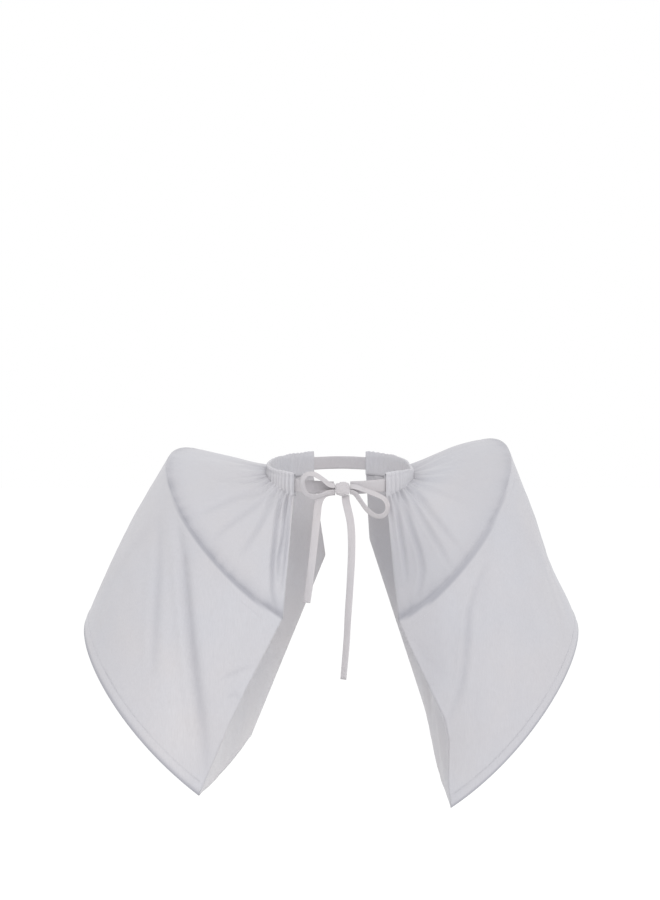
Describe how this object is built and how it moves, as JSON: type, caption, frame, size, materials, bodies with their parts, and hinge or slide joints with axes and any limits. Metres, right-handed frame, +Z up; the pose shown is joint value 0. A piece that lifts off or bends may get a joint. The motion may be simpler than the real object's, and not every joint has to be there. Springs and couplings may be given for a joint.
{
  "type": "pannier side hoops",
  "caption": "Side hoops for a wide historic skirt: cloth bags held out over the hips by flat steel hoops, hung on a waist band tied in a front bow.",
  "frame": {"origin": "centre of the waist ring, at the middle of the band's height", "axes": "+X to the right as seen from the front, along the pair's greatest width; +Y to the wearer's back; +Z up"},
  "size_m": [0.8384, 0.3821, 0.6116],
  "materials": {
    "cover_cloth": "plain weave cotton, cool off-white, matt",
    "panel_cloth": "plain weave cotton, off-white, matt",
    "casing_cloth": "cotton tape, matt",
    "band": "woven cotton tape, matt",
    "tape": "woven cotton tape, matt",
    "spring_steel": "flat spring steel, satin",
    "tip_metal": "folded sheet, satin"
  },
  "bodies": {
    "root": {"waistband": "band", "bow_knot": "band", "bow_left_loop": "tape", "bow_right_loop": "tape", "left_tail": "tape", "right_tail": "tape", "left_outer_cover": "cover_cloth", "left_inner_panel": "panel_cloth", "left_upper_casing": "casing_cloth", "left_upper_hoop": "spring_steel", "left_upper_front_tip": "tip_metal", "left_upper_back_tip": "tip_metal", "left_hem_casing": "casing_cloth", "left_hem_hoop": "spring_steel", "left_hem_front_tip": "tip_metal", "left_hem_back_tip": "tip_metal", "right_outer_cover": "cover_cloth", "right_inner_panel": "panel_cloth", "right_upper_casing": "casing_cloth", "right_upper_hoop": "spring_steel", "right_upper_front_tip": "tip_metal", "right_upper_back_tip": "tip_metal", "right_hem_casing": "casing_cloth", "right_hem_hoop": "spring_steel", "right_hem_front_tip": "tip_metal", "right_hem_back_tip": "tip_metal"}
  },
  "joints": []
}
